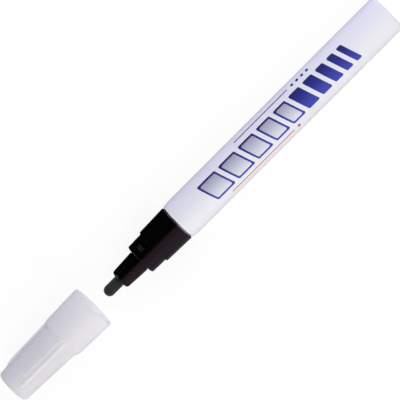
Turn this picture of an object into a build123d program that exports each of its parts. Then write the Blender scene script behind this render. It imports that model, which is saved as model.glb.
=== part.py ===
from build123d import *
from math import pi
import os

# Valve-action paint marker with its cap taken off and laid in line with it, in millimetres.
# Both lie on the table, so the wider cap's axis is a little higher than the marker's.
# X runs along the marker, from the cap to the rear end, and Z is up.
# The origin lies on the table, under the middle of the whole length.
# Stations are measured along the axis from the barrel's front lip, positive towards the rear.

# Barrel: drawn tube, closed at the rear and rolled in to a flat lip at the front
barrel_diameter = 15.0
barrel_length = 103.7
barrel_wall = 0.5
barrel_base_wall = 0.8
shoulder_radius = 1.3
lip_width = 0.75
rear_edge_radius = 0.9

# Front collar: visible taper, stepped neck with a snap bead, and the plug held behind the lip
collar_length = 11.6
collar_rear_diameter = 14.44
collar_front_diameter = 13.78
collar_edge_radius = 0.2
neck_length = 6.5
neck_rear_diameter = 12.44
neck_front_diameter = 12.16
neck_edge_radius = 0.3
snap_bead_setback = 2.1
snap_bead_width = 1.45
snap_bead_bevel = 0.3
snap_bead_height = 0.07
collar_front_wall = 3.5
collar_bore_diameter = 9.5
plug_length = 4.4

# Barrel gasket: soft ring squeezed between the lip and the plug
gasket_thickness = 0.8

# Nose: slim cone that guides the nib, snapped into the collar's front wall
nose_length = 10.2
nose_front_diameter = 7.4
nose_rear_diameter = 8.42
nose_edge_radius = 0.95
nose_groove_width = 0.6
nose_groove_depth = 0.35
nose_barb_length = 0.8
nose_barb_height = 0.25

# Nib: felt rod with a bullet end
nib_diameter = 4.2
nib_exposed = 7.1
nib_length = 27.0
nib_round_share = 0.97
nib_rear_bevel = 0.4

# Nib socket: cup that joins the nib to the valve stem
socket_diameter = 5.8
socket_depth = 2.6
socket_web = 0.6
socket_grip = 1.2

# Valve: body with a seat, stem with a poppet head, and the soft washer between them
front_chamber_diameter = 6.6
seat_thickness = 1.4
seat_hole_diameter = 3.4
rear_chamber_diameter = 7.0
stem_diameter = 2.2
head_diameter = 5.4
head_thickness = 1.0
boss_diameter = 2.6
boss_length = 1.8
seal_diameter = 5.2
seal_thickness = 0.7
pump_travel = 2.0
pump_spare = 0.3

# Spring and the cage that carries it
spring_diameter = 3.7
spring_wire = 0.4
spring_turns = 5
arcs_per_turn = 4
cage_flange_diameter = 9.0
cage_floor = 1.0
cage_skirt_length = 2.5
cage_skirt_wall = 0.7
cage_hole_diameter = 2.6

# Mixing ball, loose in the paint chamber
ball_diameter = 6.0
ball_station = 62.0

# Cap: wide mouth part, smooth step, and a narrower body with long ribs
cap_gap = 5.9
cap_length = 40.5
cap_mouth_diameter = 17.3
cap_skirt_length = 15.0
cap_skirt_end_diameter = 16.48
cap_step_length = 2.8
cap_step_radius = 2.0
cap_body_diameter = 14.87
cap_body_end_diameter = 12.92
cap_end_radius = 1.4
cap_crown = 0.3
cap_rim_radius = 0.3
cap_lead_in = 0.35
cap_bore_depth = 14.6
cap_bore_step = 2.0
cap_pocket_diameter = 11.0
cap_end_wall = 1.4
rib_count = 3
rib_phase = 9.0
rib_width = 2.2
rib_root = 0.4
rib_start_height = 0.65
rib_end_height = 0.85
rib_length = 20.3
rib_tip_run = 2.4
rib_edge_radius = 0.3

# Inner cap: soft cup in the cap's pocket that closes over the nose
inner_cap_end_wall = 0.9
inner_cap_corner_radius = 0.8
inner_cap_lead_in = 0.3

# Clearances
fit_clearance = 0.02
lip_clearance = 0.05
plug_clearance = 0.05
nib_clearance = 0.05
seat_clearance = 0.03
spring_clearance = 0.03
ball_clearance = 0.03
cap_clearance = 0.18
cap_seat_gap = 0.2
cap_end_clearance = 0.3
cut_overrun = 1.0

# Radii
barrel_radius = barrel_diameter / 2
chamber_radius = barrel_radius - barrel_wall
lip_bore_radius = barrel_radius - shoulder_radius - lip_width
collar_stem_radius = lip_bore_radius - lip_clearance
collar_bore_radius = collar_bore_diameter / 2
nose_shank_radius = nose_rear_diameter / 2 - nose_groove_depth
nib_radius = nib_diameter / 2
stem_radius = stem_diameter / 2
ball_radius = ball_diameter / 2

# Stations
neck_front = -collar_length - neck_length
nose_front = neck_front - nose_length
nib_tip = nose_front - nib_exposed
nib_rear = nib_tip + nib_length
nose_rear = neck_front + collar_front_wall + nose_barb_length
plug_front = barrel_wall + gasket_thickness
plug_rear = plug_front + plug_length
socket_front = nib_rear - socket_depth
socket_rear = nib_rear + socket_web + socket_grip
seat_front = socket_rear + pump_travel + pump_spare
seat_rear = seat_front + seat_thickness
head_front = seat_rear + seat_clearance + seal_thickness
head_rear = head_front + head_thickness
chamber_end = barrel_length - barrel_base_wall
cap_mouth = nib_tip - cap_gap
cap_closed_end = cap_mouth - cap_length
middle = (cap_closed_end + barrel_length) / 2

# Depths inside the cap, measured from its mouth
neck_depth = collar_length + neck_length - cap_seat_gap + cap_end_clearance
pocket_depth = cap_length - cap_end_wall
inner_cap_depth = pocket_depth - inner_cap_end_wall


def between(start, end, share):
    """Value that lies the given share of the way from start to end."""
    return start + (end - start) * share


def loop(points):
    """Closed outline through (station, radius) points, in the half plane above the axis."""
    return Polyline(*[(station, 0, radius) for station, radius in points], close=True)


def turned(outline, rounds=()):
    """Outline turned about the axis, with each (station, radius, round) corner rounded first."""
    face = make_face(outline).face()
    for station, radius, round_radius in rounds:
        corner = face.vertices().sort_by_distance((station, 0, radius))[0]
        face = face.fillet_2d(round_radius, [corner])
    return revolve(face, axis=Axis.X)


def make_barrel():
    """Tube with a flat rear end and a rounded front shoulder that ends in a flat lip."""
    outline = loop(
        [
            (0, lip_bore_radius),
            (0, barrel_radius),
            (barrel_length, barrel_radius),
            (barrel_length, 0),
            (chamber_end, 0),
            (chamber_end, chamber_radius),
            (barrel_wall, chamber_radius),
            (barrel_wall, lip_bore_radius),
        ]
    )
    rounds = [
        (0, barrel_radius, shoulder_radius),
        (barrel_wall, chamber_radius, shoulder_radius - barrel_wall),
        (barrel_length, barrel_radius, rear_edge_radius),
        (chamber_end, chamber_radius, rear_edge_radius - barrel_wall),
    ]
    return turned(outline, rounds)


def neck_radius_at(station):
    """Radius of the collar's neck at a station, on its slight taper."""
    share = (station - neck_front) / neck_length
    return between(neck_front_diameter, neck_rear_diameter, share) / 2


def make_front_collar():
    """Collar, neck and bead in front of the lip, and the plug and its bore behind it."""
    bead_front = neck_front + snap_bead_setback
    bead_rear = bead_front + snap_bead_width
    bead_top_front = bead_front + snap_bead_bevel
    bead_top_rear = bead_rear - snap_bead_bevel
    bore_front = neck_front + collar_front_wall
    hole_radius = nose_shank_radius + fit_clearance
    outline = loop(
        [
            (neck_front, hole_radius),
            (neck_front, neck_front_diameter / 2),
            (bead_front, neck_radius_at(bead_front)),
            (bead_top_front, neck_radius_at(bead_top_front) + snap_bead_height),
            (bead_top_rear, neck_radius_at(bead_top_rear) + snap_bead_height),
            (bead_rear, neck_radius_at(bead_rear)),
            (-collar_length, neck_rear_diameter / 2),
            (-collar_length, collar_front_diameter / 2),
            (0, collar_rear_diameter / 2),
            (0, collar_stem_radius),
            (plug_front, collar_stem_radius),
            (plug_front, chamber_radius - plug_clearance),
            (plug_rear, chamber_radius - plug_clearance),
            (plug_rear, collar_bore_radius),
            (bore_front, collar_bore_radius),
            (bore_front, hole_radius),
        ]
    )
    rounds = [
        (neck_front, neck_front_diameter / 2, neck_edge_radius),
        (-collar_length, neck_rear_diameter / 2, collar_edge_radius),
        (-collar_length, collar_front_diameter / 2, collar_edge_radius),
        (0, collar_rear_diameter / 2, collar_edge_radius),
    ]
    return turned(outline, rounds)


def make_barrel_gasket():
    """Flat ring round the collar's stem, from the lip to the plug."""
    inner_radius = collar_stem_radius + fit_clearance
    outer_radius = barrel_radius - shoulder_radius
    outline = loop(
        [
            (barrel_wall, inner_radius),
            (barrel_wall, outer_radius),
            (plug_front, outer_radius),
            (plug_front, inner_radius),
        ]
    )
    return turned(outline)


def make_nose():
    """Rounded cone with a groove at its foot, a shank in the collar and a barb behind its wall."""
    bore_radius = nib_radius + nib_clearance
    groove_front = neck_front - nose_groove_width
    wall_rear = neck_front + collar_front_wall
    outline = loop(
        [
            (nose_front, bore_radius),
            (nose_front, nose_front_diameter / 2),
            (groove_front, nose_rear_diameter / 2),
            (groove_front, nose_shank_radius),
            (wall_rear, nose_shank_radius),
            (wall_rear, nose_shank_radius + nose_barb_height),
            (nose_rear, nose_shank_radius),
            (nose_rear, bore_radius),
        ]
    )
    return turned(outline, [(nose_front, nose_front_diameter / 2, nose_edge_radius)])


def make_nib():
    """Rod with a rounded writing end and a bevelled rear end."""
    outline = loop(
        [
            (nib_tip, 0),
            (nib_tip, nib_radius),
            (nib_rear - nib_rear_bevel, nib_radius),
            (nib_rear, nib_radius - nib_rear_bevel),
            (nib_rear, 0),
        ]
    )
    return turned(outline, [(nib_tip, nib_radius, nib_radius * nib_round_share)])


def make_nib_socket():
    """Cup with a deep seat for the nib in front and a small one for the stem behind."""
    nib_seat_radius = nib_radius + fit_clearance
    stem_seat_radius = stem_radius + fit_clearance
    outline = loop(
        [
            (socket_front, nib_seat_radius),
            (socket_front, socket_diameter / 2),
            (socket_rear, socket_diameter / 2),
            (socket_rear, stem_seat_radius),
            (nib_rear + socket_web, stem_seat_radius),
            (nib_rear + socket_web, 0),
            (nib_rear, 0),
            (nib_rear, nib_seat_radius),
        ]
    )
    return turned(outline)


def make_valve_body():
    """Sleeve in the collar's bore, with a chamber each side of the seat's wall."""
    outer_radius = collar_bore_radius - fit_clearance
    outline = loop(
        [
            (nose_rear, front_chamber_diameter / 2),
            (nose_rear, outer_radius),
            (plug_rear, outer_radius),
            (plug_rear, rear_chamber_diameter / 2),
            (seat_rear, rear_chamber_diameter / 2),
            (seat_rear, seat_hole_diameter / 2),
            (seat_front, seat_hole_diameter / 2),
            (seat_front, front_chamber_diameter / 2),
        ]
    )
    return turned(outline)


def make_valve_stem():
    """Rod through the seat with a poppet head behind it and a boss inside the spring."""
    outline = loop(
        [
            (nib_rear + socket_web, 0),
            (nib_rear + socket_web, stem_radius),
            (head_front, stem_radius),
            (head_front, head_diameter / 2),
            (head_rear, head_diameter / 2),
            (head_rear, boss_diameter / 2),
            (head_rear + boss_length, boss_diameter / 2),
            (head_rear + boss_length, 0),
        ]
    )
    return turned(outline)


def make_stem_seal():
    """Soft washer on the stem, flat against the poppet head."""
    inner_radius = stem_radius + fit_clearance
    outline = loop(
        [
            (head_front - seal_thickness, inner_radius),
            (head_front - seal_thickness, seal_diameter / 2),
            (head_front, seal_diameter / 2),
            (head_front, inner_radius),
        ]
    )
    return turned(outline)


def biarc(start, start_tangent, end, end_tangent):
    """Two arcs that meet smoothly and keep the tangents at both ends."""
    chord = end - start
    along = chord.dot(start_tangent + end_tangent)
    spread = 2 * (1 - start_tangent.dot(end_tangent))
    reach = ((along**2 + spread * chord.dot(chord)) ** 0.5 - along) / spread
    first_corner = start + start_tangent * reach
    second_corner = end - end_tangent * reach
    joint = (first_corner + second_corner) / 2
    joint_tangent = (second_corner - first_corner).normalized()
    return [
        TangentArc(start, joint, tangent=start_tangent),
        TangentArc(joint, end, tangent=joint_tangent),
    ]


def make_valve_spring():
    """Round wire on a helix of arcs, from the poppet head to the cage's floor."""
    first = head_rear + spring_wire / 2 + spring_clearance
    last = plug_rear - spring_wire / 2 - spring_clearance
    pitch = (last - first) / spring_turns
    arm = Vector(0, 0, spring_diameter / 2)
    nodes = []
    for index in range(spring_turns * arcs_per_turn + 1):
        turns = index / arcs_per_turn
        point = Vector(first + pitch * turns, 0, 0) + arm.rotate(Axis.X, turns * 360)
        tangent = Vector(pitch, 0, 0) + arm.rotate(Axis.X, turns * 360 + 90) * 2 * pi
        nodes.append((point, tangent.normalized()))
    arcs = []
    for (start, start_tangent), (end, end_tangent) in zip(nodes, nodes[1:]):
        arcs += biarc(start, start_tangent, end, end_tangent)
    section = Plane(origin=nodes[0][0], z_dir=nodes[0][1]) * Circle(spring_wire / 2)
    print(f"valve spring: gap between turns {pitch - spring_wire:.2f} mm")
    return sweep(section, path=Wire(arcs))


def make_spring_cage():
    """Flange behind the valve body, with a skirt in its rear chamber and a hole for the paint."""
    skirt_radius = rear_chamber_diameter / 2 - fit_clearance
    outline = loop(
        [
            (plug_rear - cage_skirt_length, skirt_radius - cage_skirt_wall),
            (plug_rear - cage_skirt_length, skirt_radius),
            (plug_rear, skirt_radius),
            (plug_rear, cage_flange_diameter / 2),
            (plug_rear + cage_floor, cage_flange_diameter / 2),
            (plug_rear + cage_floor, cage_hole_diameter / 2),
            (plug_rear, cage_hole_diameter / 2),
            (plug_rear, skirt_radius - cage_skirt_wall),
        ]
    )
    return turned(outline)


def make_mixing_ball():
    """Steel ball lying on the chamber's wall."""
    drop = chamber_radius - ball_radius - ball_clearance
    return Pos(ball_station, 0, -drop) * Sphere(ball_radius)


def cap_body_radius_at(depth):
    """Outer radius of the cap's narrow body at a depth from the mouth, on its taper."""
    body_start = cap_skirt_length + cap_step_length
    share = (depth - body_start) / (cap_length - cap_crown - body_start)
    return between(cap_body_diameter, cap_body_end_diameter, share) / 2


def make_cap_rib():
    """Plate that runs from the mouth part towards the closed end, losing height, rounded on top."""
    start = cap_skirt_length
    end = start + rib_length
    tip = end + rib_tip_run
    side = loop(
        [
            (cap_mouth - start, cap_body_radius_at(start) - rib_root),
            (cap_mouth - start, cap_body_radius_at(start) + rib_start_height),
            (cap_mouth - end, cap_body_radius_at(end) + rib_end_height),
            (cap_mouth - tip, cap_body_radius_at(tip) - rib_root),
        ]
    )
    plate = extrude(make_face(side), amount=rib_width / 2, both=True)
    top_faces = [face for face in plate.faces() if face.normal_at().Z > abs(face.normal_at().X)]
    long_edges = [
        edge
        for face in top_faces
        for edge in face.edges()
        if abs(edge.tangent_at(0).Y) < abs(edge.tangent_at(0).X)
    ]
    return fillet(long_edges, rib_edge_radius)


def make_cap_shell():
    """Turned shell with ribs, bored for the collar, the neck and the inner cap."""
    end_plane = cap_closed_end + cap_crown
    body_start = cap_mouth - cap_skirt_length - cap_step_length
    skirt_end = cap_mouth - cap_skirt_length
    end_radius = cap_body_end_diameter / 2
    sides = Polyline(
        (cap_closed_end, 0, 0),
        (cap_mouth, 0, 0),
        (cap_mouth, 0, cap_mouth_diameter / 2),
        (skirt_end, 0, cap_skirt_end_diameter / 2),
        (body_start, 0, cap_body_diameter / 2),
        (end_plane, 0, end_radius),
    )
    crown = TangentArc((cap_closed_end, 0, 0), (end_plane, 0, end_radius), tangent=(0, 0, 1))
    rounds = [
        (cap_mouth, cap_mouth_diameter / 2, cap_rim_radius),
        (skirt_end, cap_skirt_end_diameter / 2, cap_step_radius),
        (body_start, cap_body_diameter / 2, cap_step_radius),
        (end_plane, end_radius, cap_end_radius),
    ]
    shell = turned(sides + crown, rounds)
    rib = make_cap_rib()
    for index in range(rib_count):
        shell += Rot(rib_phase + index * 360 / rib_count, 0, 0) * rib
    return shell - make_cap_cavity()


def make_cap_cavity():
    """Hollow of the cap: a tapered mouth, the neck's bore, and the inner cap's pocket."""
    mouth_radius = collar_rear_diameter / 2 + cap_clearance
    front_radius = collar_front_diameter / 2 + cap_clearance
    taper_share = cap_bore_depth / collar_length
    bore_end_radius = between(mouth_radius, front_radius, taper_share)
    neck_bore_radius = neck_rear_diameter / 2 + snap_bead_height + cap_clearance
    outline = loop(
        [
            (cap_mouth + cut_overrun, 0),
            (cap_mouth + cut_overrun, mouth_radius + cap_lead_in),
            (cap_mouth, mouth_radius + cap_lead_in),
            (cap_mouth - cap_lead_in, mouth_radius),
            (cap_mouth - cap_bore_depth, bore_end_radius),
            (cap_mouth - cap_bore_depth - cap_bore_step, neck_bore_radius),
            (cap_mouth - neck_depth, neck_bore_radius),
            (cap_mouth - neck_depth, cap_pocket_diameter / 2),
            (cap_mouth - pocket_depth, cap_pocket_diameter / 2),
            (cap_mouth - pocket_depth, 0),
        ]
    )
    corner = (cap_mouth - pocket_depth, cap_pocket_diameter / 2, inner_cap_corner_radius)
    return turned(outline, [corner])


def make_inner_cap():
    """Cup in the cap's pocket, with a bevelled mouth that leads the nose in."""
    outer_radius = cap_pocket_diameter / 2 - fit_clearance
    bore_radius = nose_rear_diameter / 2 + cap_clearance
    front = cap_mouth - neck_depth
    end = cap_mouth - pocket_depth
    bore_end = cap_mouth - inner_cap_depth
    outline = loop(
        [
            (front, bore_radius + inner_cap_lead_in),
            (front, outer_radius),
            (end, outer_radius),
            (end, 0),
            (bore_end, 0),
            (bore_end, bore_radius),
            (front - inner_cap_lead_in, bore_radius),
        ]
    )
    rounds = [
        (end, outer_radius, inner_cap_corner_radius),
        (bore_end, bore_radius, inner_cap_corner_radius),
    ]
    return turned(outline, rounds)


marker_pieces = {
    "barrel": make_barrel(),
    "front_collar": make_front_collar(),
    "barrel_gasket": make_barrel_gasket(),
    "nose": make_nose(),
    "nib": make_nib(),
    "nib_socket": make_nib_socket(),
    "valve_body": make_valve_body(),
    "valve_stem": make_valve_stem(),
    "stem_seal": make_stem_seal(),
    "valve_spring": make_valve_spring(),
    "spring_cage": make_spring_cage(),
    "mixing_ball": make_mixing_ball(),
}
cap_pieces = {
    "cap_shell": make_cap_shell(),
    "inner_cap": make_inner_cap(),
}


def height_on_table(group):
    """Height of a group's axis above the table when its lowest point lies on the table."""
    return -min(solid.bounding_box().min.Z for solid in group.values())


os.makedirs("parts", exist_ok=True)
for group in (marker_pieces, cap_pieces):
    place = Pos(-middle, 0, height_on_table(group))
    for name, solid in group.items():
        export_step(place * solid, f"parts/{name}.step")
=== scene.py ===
"""Looks of a valve-action paint marker: finishes, printed barrel, milky cap and a small studio.

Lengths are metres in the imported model's frame. X runs along the marker, from the cap to the barrel's
flat rear end, Z is up, and the table is at zero.
"""

import logging
import math
from dataclasses import dataclass, field, replace
from enum import Enum
from functools import partial

import bpy
import numpy as np
from bpy.types import Material, Node, NodeSocket, NodeTree, Object
from mathutils import Matrix, Vector


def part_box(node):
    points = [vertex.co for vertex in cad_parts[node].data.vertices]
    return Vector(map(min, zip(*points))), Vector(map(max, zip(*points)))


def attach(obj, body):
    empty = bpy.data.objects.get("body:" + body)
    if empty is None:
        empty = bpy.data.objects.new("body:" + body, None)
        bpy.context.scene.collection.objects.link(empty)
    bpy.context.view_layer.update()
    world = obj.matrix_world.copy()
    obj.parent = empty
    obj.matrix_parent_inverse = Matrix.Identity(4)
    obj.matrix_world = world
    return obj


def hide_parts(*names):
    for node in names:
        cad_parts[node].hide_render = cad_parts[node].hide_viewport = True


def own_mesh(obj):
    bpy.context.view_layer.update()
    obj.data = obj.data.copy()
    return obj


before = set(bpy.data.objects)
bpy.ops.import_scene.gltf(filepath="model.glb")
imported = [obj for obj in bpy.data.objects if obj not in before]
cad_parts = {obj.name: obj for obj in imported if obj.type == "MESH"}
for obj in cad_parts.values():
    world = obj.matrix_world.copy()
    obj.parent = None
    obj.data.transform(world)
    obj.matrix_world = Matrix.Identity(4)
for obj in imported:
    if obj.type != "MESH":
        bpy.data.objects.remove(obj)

log = logging.getLogger("paint_marker")

MM = 0.001
EASED_EDGE = 0.06 * MM
ARC_STEPS = 7
COLUMNS = 192
RUN_SHARES = np.array([0.02, 0.25, 0.5, 0.75, 0.98])
WHITE = (1.0, 1.0, 1.0)
BLACK = (0.0, 0.0, 0.0)

Skin = tuple[np.ndarray, list[np.ndarray]]
Colour = tuple[float, float, float]


class Body(Enum):
    """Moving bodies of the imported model."""

    MARKER = "marker"
    PUMP = "pump"
    CAP = "cap"


class Slot(Enum):
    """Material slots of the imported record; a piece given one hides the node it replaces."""

    WHITE_ENAMEL = "white_enamel"
    BLACK_PLASTIC = "black_plastic"
    NIB_FELT = "nib_felt"
    CAP_PLASTIC = "cap_plastic"
    INNER_CAP_PLASTIC = "inner_cap_plastic"
    SPRING_STEEL = "spring_steel"


class Axis(Enum):
    """Axes of a vector."""

    X = "X"
    Y = "Y"
    Z = "Z"


class Way(Enum):
    """How a value goes from one edge to the other."""

    EVEN = "LINEAR"
    SOFT = "SMOOTHSTEP"


class Sum(Enum):
    """Math operations, each with its node, its name there and its output."""

    ADD = ("ShaderNodeMath", "ADD", "Value")
    MULTIPLY = ("ShaderNodeMath", "MULTIPLY", "Value")
    LARGER = ("ShaderNodeMath", "MAXIMUM", "Value")
    COSINE = ("ShaderNodeVectorMath", "DOT_PRODUCT", "Value")
    ADD_COLOURS = ("ShaderNodeVectorMath", "ADD", "Vector")


@dataclass(frozen=True)
class Corner:
    """Corner of an outline: its place along the axis and across it, and the radius that eases it."""

    along: float
    across: float
    ease: float = EASED_EDGE


def tangent_arc(before: np.ndarray, corner: np.ndarray, after: np.ndarray, radius: float) -> np.ndarray:
    """Arc that rounds one corner.

    Its feet lie radius / tan(half the corner's angle) from the corner on both runs, its centre on the
    bisector, and its points turn one foot's arm evenly into the other's.

    Args:
        before: The corner's neighbour on the incoming run.
        corner: The corner itself.
        after: The corner's neighbour on the outgoing run.
        radius: The arc's radius.

    Returns:
        Points of the arc, one row each.
    """
    to_before = (before - corner) / np.linalg.norm(before - corner)
    to_after = (after - corner) / np.linalg.norm(after - corner)
    half = np.arccos(np.clip(to_before @ to_after, -1.0, 1.0)) / 2
    bisector = (to_before + to_after) / np.linalg.norm(to_before + to_after)
    centre = corner + bisector * radius / np.sin(half)
    first_arm = corner + to_before * radius / np.tan(half) - centre
    last_arm = corner + to_after * radius / np.tan(half) - centre
    turn = np.pi - 2 * half
    share = np.linspace(0, 1, ARC_STEPS + 1)[:, None]
    return centre + (np.sin((1 - share) * turn) * first_arm + np.sin(share * turn) * last_arm) / np.sin(turn)


def trace(corners: list[Corner], closed: bool) -> np.ndarray:
    """Outline of straight runs and eased corners, with rows close to each round and a few between.

    Args:
        corners: The outline's corners in order.
        closed: Whether the last corner runs on to the first.

    Returns:
        Points (along, across), one row each.
    """
    places = np.array([(corner.along, corner.across) for corner in corners])
    count = len(corners)
    rounds = []
    for index, corner in enumerate(corners):
        if not closed and index in (0, count - 1):
            rounds.append(places[index][None, :])
        else:
            after = places[(index + 1) % count]
            rounds.append(tangent_arc(places[index - 1], places[index], after, corner.ease))
    stretches = []
    for index in range(count):
        stretches.append(rounds[index])
        if closed or index < count - 1:
            start = rounds[index][-1]
            end = rounds[(index + 1) % count][0]
            stretches.append(start + (end - start) * RUN_SHARES[:, None])
    return np.vstack(stretches)


def refined(outline: np.ndarray, spacing: float) -> np.ndarray:
    """Closed outline with points added on its runs, so that none lie further apart than the spacing.

    Args:
        outline: Points of the outline, one row each.
        spacing: Largest step along it.

    Returns:
        The outline's own points and the added ones, in order.
    """
    ring = np.vstack([outline, outline[:1]])
    walked = np.concatenate([[0.0], np.cumsum(np.linalg.norm(np.diff(ring, axis=0), axis=1))])
    even = np.arange(0.0, walked[-1], spacing)
    steps = np.unique(np.concatenate([walked[:-1], even]))
    return np.stack([np.interp(steps, walked, ring[:, axis]) for axis in (0, 1)], axis=1)


def even_turn(count: int) -> np.ndarray:
    """Angles that divide a full turn evenly, from zero on."""
    return np.linspace(0, 2 * np.pi, count, endpoint=False)


def around(
    along: float | np.ndarray, out: float | np.ndarray, angle: np.ndarray, height: float
) -> np.ndarray:
    """Points round an axis that lies along X: angle zero is up, and it grows towards -Y.

    Args:
        along: Places on X.
        out: Distances from the axis.
        angle: Angles in radians.
        height: The axis's height above the table.

    Returns:
        Points with the arrays' common shape and a last axis of three.
    """
    parts = np.broadcast_arrays(along, -out * np.sin(angle), height + out * np.cos(angle))
    return np.stack(parts, axis=-1)


def axis_ends(outline: np.ndarray, height: float) -> np.ndarray:
    """First and last point of an open outline, on the axis."""
    return around(outline[[0, -1], 0], np.zeros(2), np.zeros(2), height)


def skin(grid: np.ndarray, poles: np.ndarray | None = None) -> Skin:
    """Closed surface over a grid whose columns run round and whose rows follow an outline.

    Without poles the last row joins the first. With poles, each end row closes on one point.

    Args:
        grid: Points, rows by columns by three.
        poles: The two end points, or None.

    Returns:
        The points and the faces, as arrays of faces with equally many corners. They point outwards where
        the outline runs along +X outside.
    """
    rows, columns = grid.shape[:2]
    index = np.arange(rows * columns).reshape(rows, columns)
    ring = index if poles is not None else np.vstack([index, index[:1]])
    beside = np.roll(ring, -1, axis=1)
    quads = np.stack([ring[:-1], beside[:-1], beside[1:], ring[1:]], axis=-1)
    faces = [quads.reshape(-1, 4)]
    points = grid.reshape(-1, 3)
    if poles is not None:
        first = np.full(columns, len(points))
        faces.append(np.stack([first, beside[0], index[0]], axis=-1))
        faces.append(np.stack([index[-1], beside[-1], first + 1], axis=-1))
        points = np.vstack([points, poles])
    return points, faces


def turned(corners: list[Corner], height: float, closed: bool) -> Skin:
    """Eased outline turned about the axis: each point keeps its place on X and goes round at its radius.

    Args:
        corners: The outline's corners. An open outline starts and ends on the axis.
        height: The axis's height above the table.
        closed: Whether the outline is a ring, as on a piece with a hole through it.

    Returns:
        The turned surface.
    """
    outline = trace(corners, closed)
    rows = outline if closed else outline[1:-1]
    grid = around(rows[:, :1], rows[:, 1:], even_turn(COLUMNS), height)
    return skin(grid, None if closed else axis_ends(outline, height))


def merged(skins: list[Skin]) -> Skin:
    """Several surfaces as one.

    Args:
        skins: The surfaces.

    Returns:
        All their points, and their faces, counted on from the points of the surfaces before.
    """
    starts = np.cumsum([0] + [len(points) for points, _ in skins])
    faces = [block + start for start, (_, blocks) in zip(starts, skins) for block in blocks]
    return np.vstack([points for points, _ in skins]), faces


def mesh_object(name: str, surface: Skin, material: Material, smooth: bool) -> Object:
    """Mesh object at the origin with one material.

    Args:
        name: The object's name.
        surface: Its points and faces.
        material: Its finish.
        smooth: Whether its faces are shaded as one smooth surface.

    Returns:
        The new object.
    """
    points, blocks = surface
    faces = [face for block in blocks for face in block.tolist()]
    mesh = bpy.data.meshes.new(name)
    mesh.from_pydata(points.tolist(), [], faces)
    mesh.polygons.foreach_set("use_smooth", np.full(len(mesh.polygons), smooth))
    mesh.materials.append(material)
    mesh.update()
    made = bpy.data.objects.new(name, mesh)
    bpy.context.scene.collection.objects.link(made)
    return made


def piece(
    name: str, surface: Skin, material: Material, body: Body, slot: Slot | None = None, node: str = ""
) -> Object:
    """Smooth mesh object that rides on a body and, where a slot is given, stands for a node.

    Args:
        name: The piece's name.
        surface: Its points and faces.
        material: Its finish.
        body: The body that carries it.
        slot: Any slot makes it hide the node; which slot it is, is not used.
        node: The node whose place it takes.

    Returns:
        The new object.
    """
    made = mesh_object(name, surface, material, smooth=True)
    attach(made, body.value)
    if slot:
        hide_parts(node)
    log.info("built %s with %d faces on %s", name, len(made.data.polygons), body.value)
    return made


@dataclass(frozen=True)
class Span:
    """Where a turned node lies: its ends on X, its axis's height and its largest radius."""

    front: float
    rear: float
    height: float
    radius: float

    @classmethod
    def of(cls, node: str) -> "Span":
        """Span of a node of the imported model."""
        low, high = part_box(node)
        return cls(low.x, high.x, (low.z + high.z) / 2, (high.y - low.y) / 2)

    @property
    def length(self) -> float:
        """Length along X."""
        return self.rear - self.front


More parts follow.
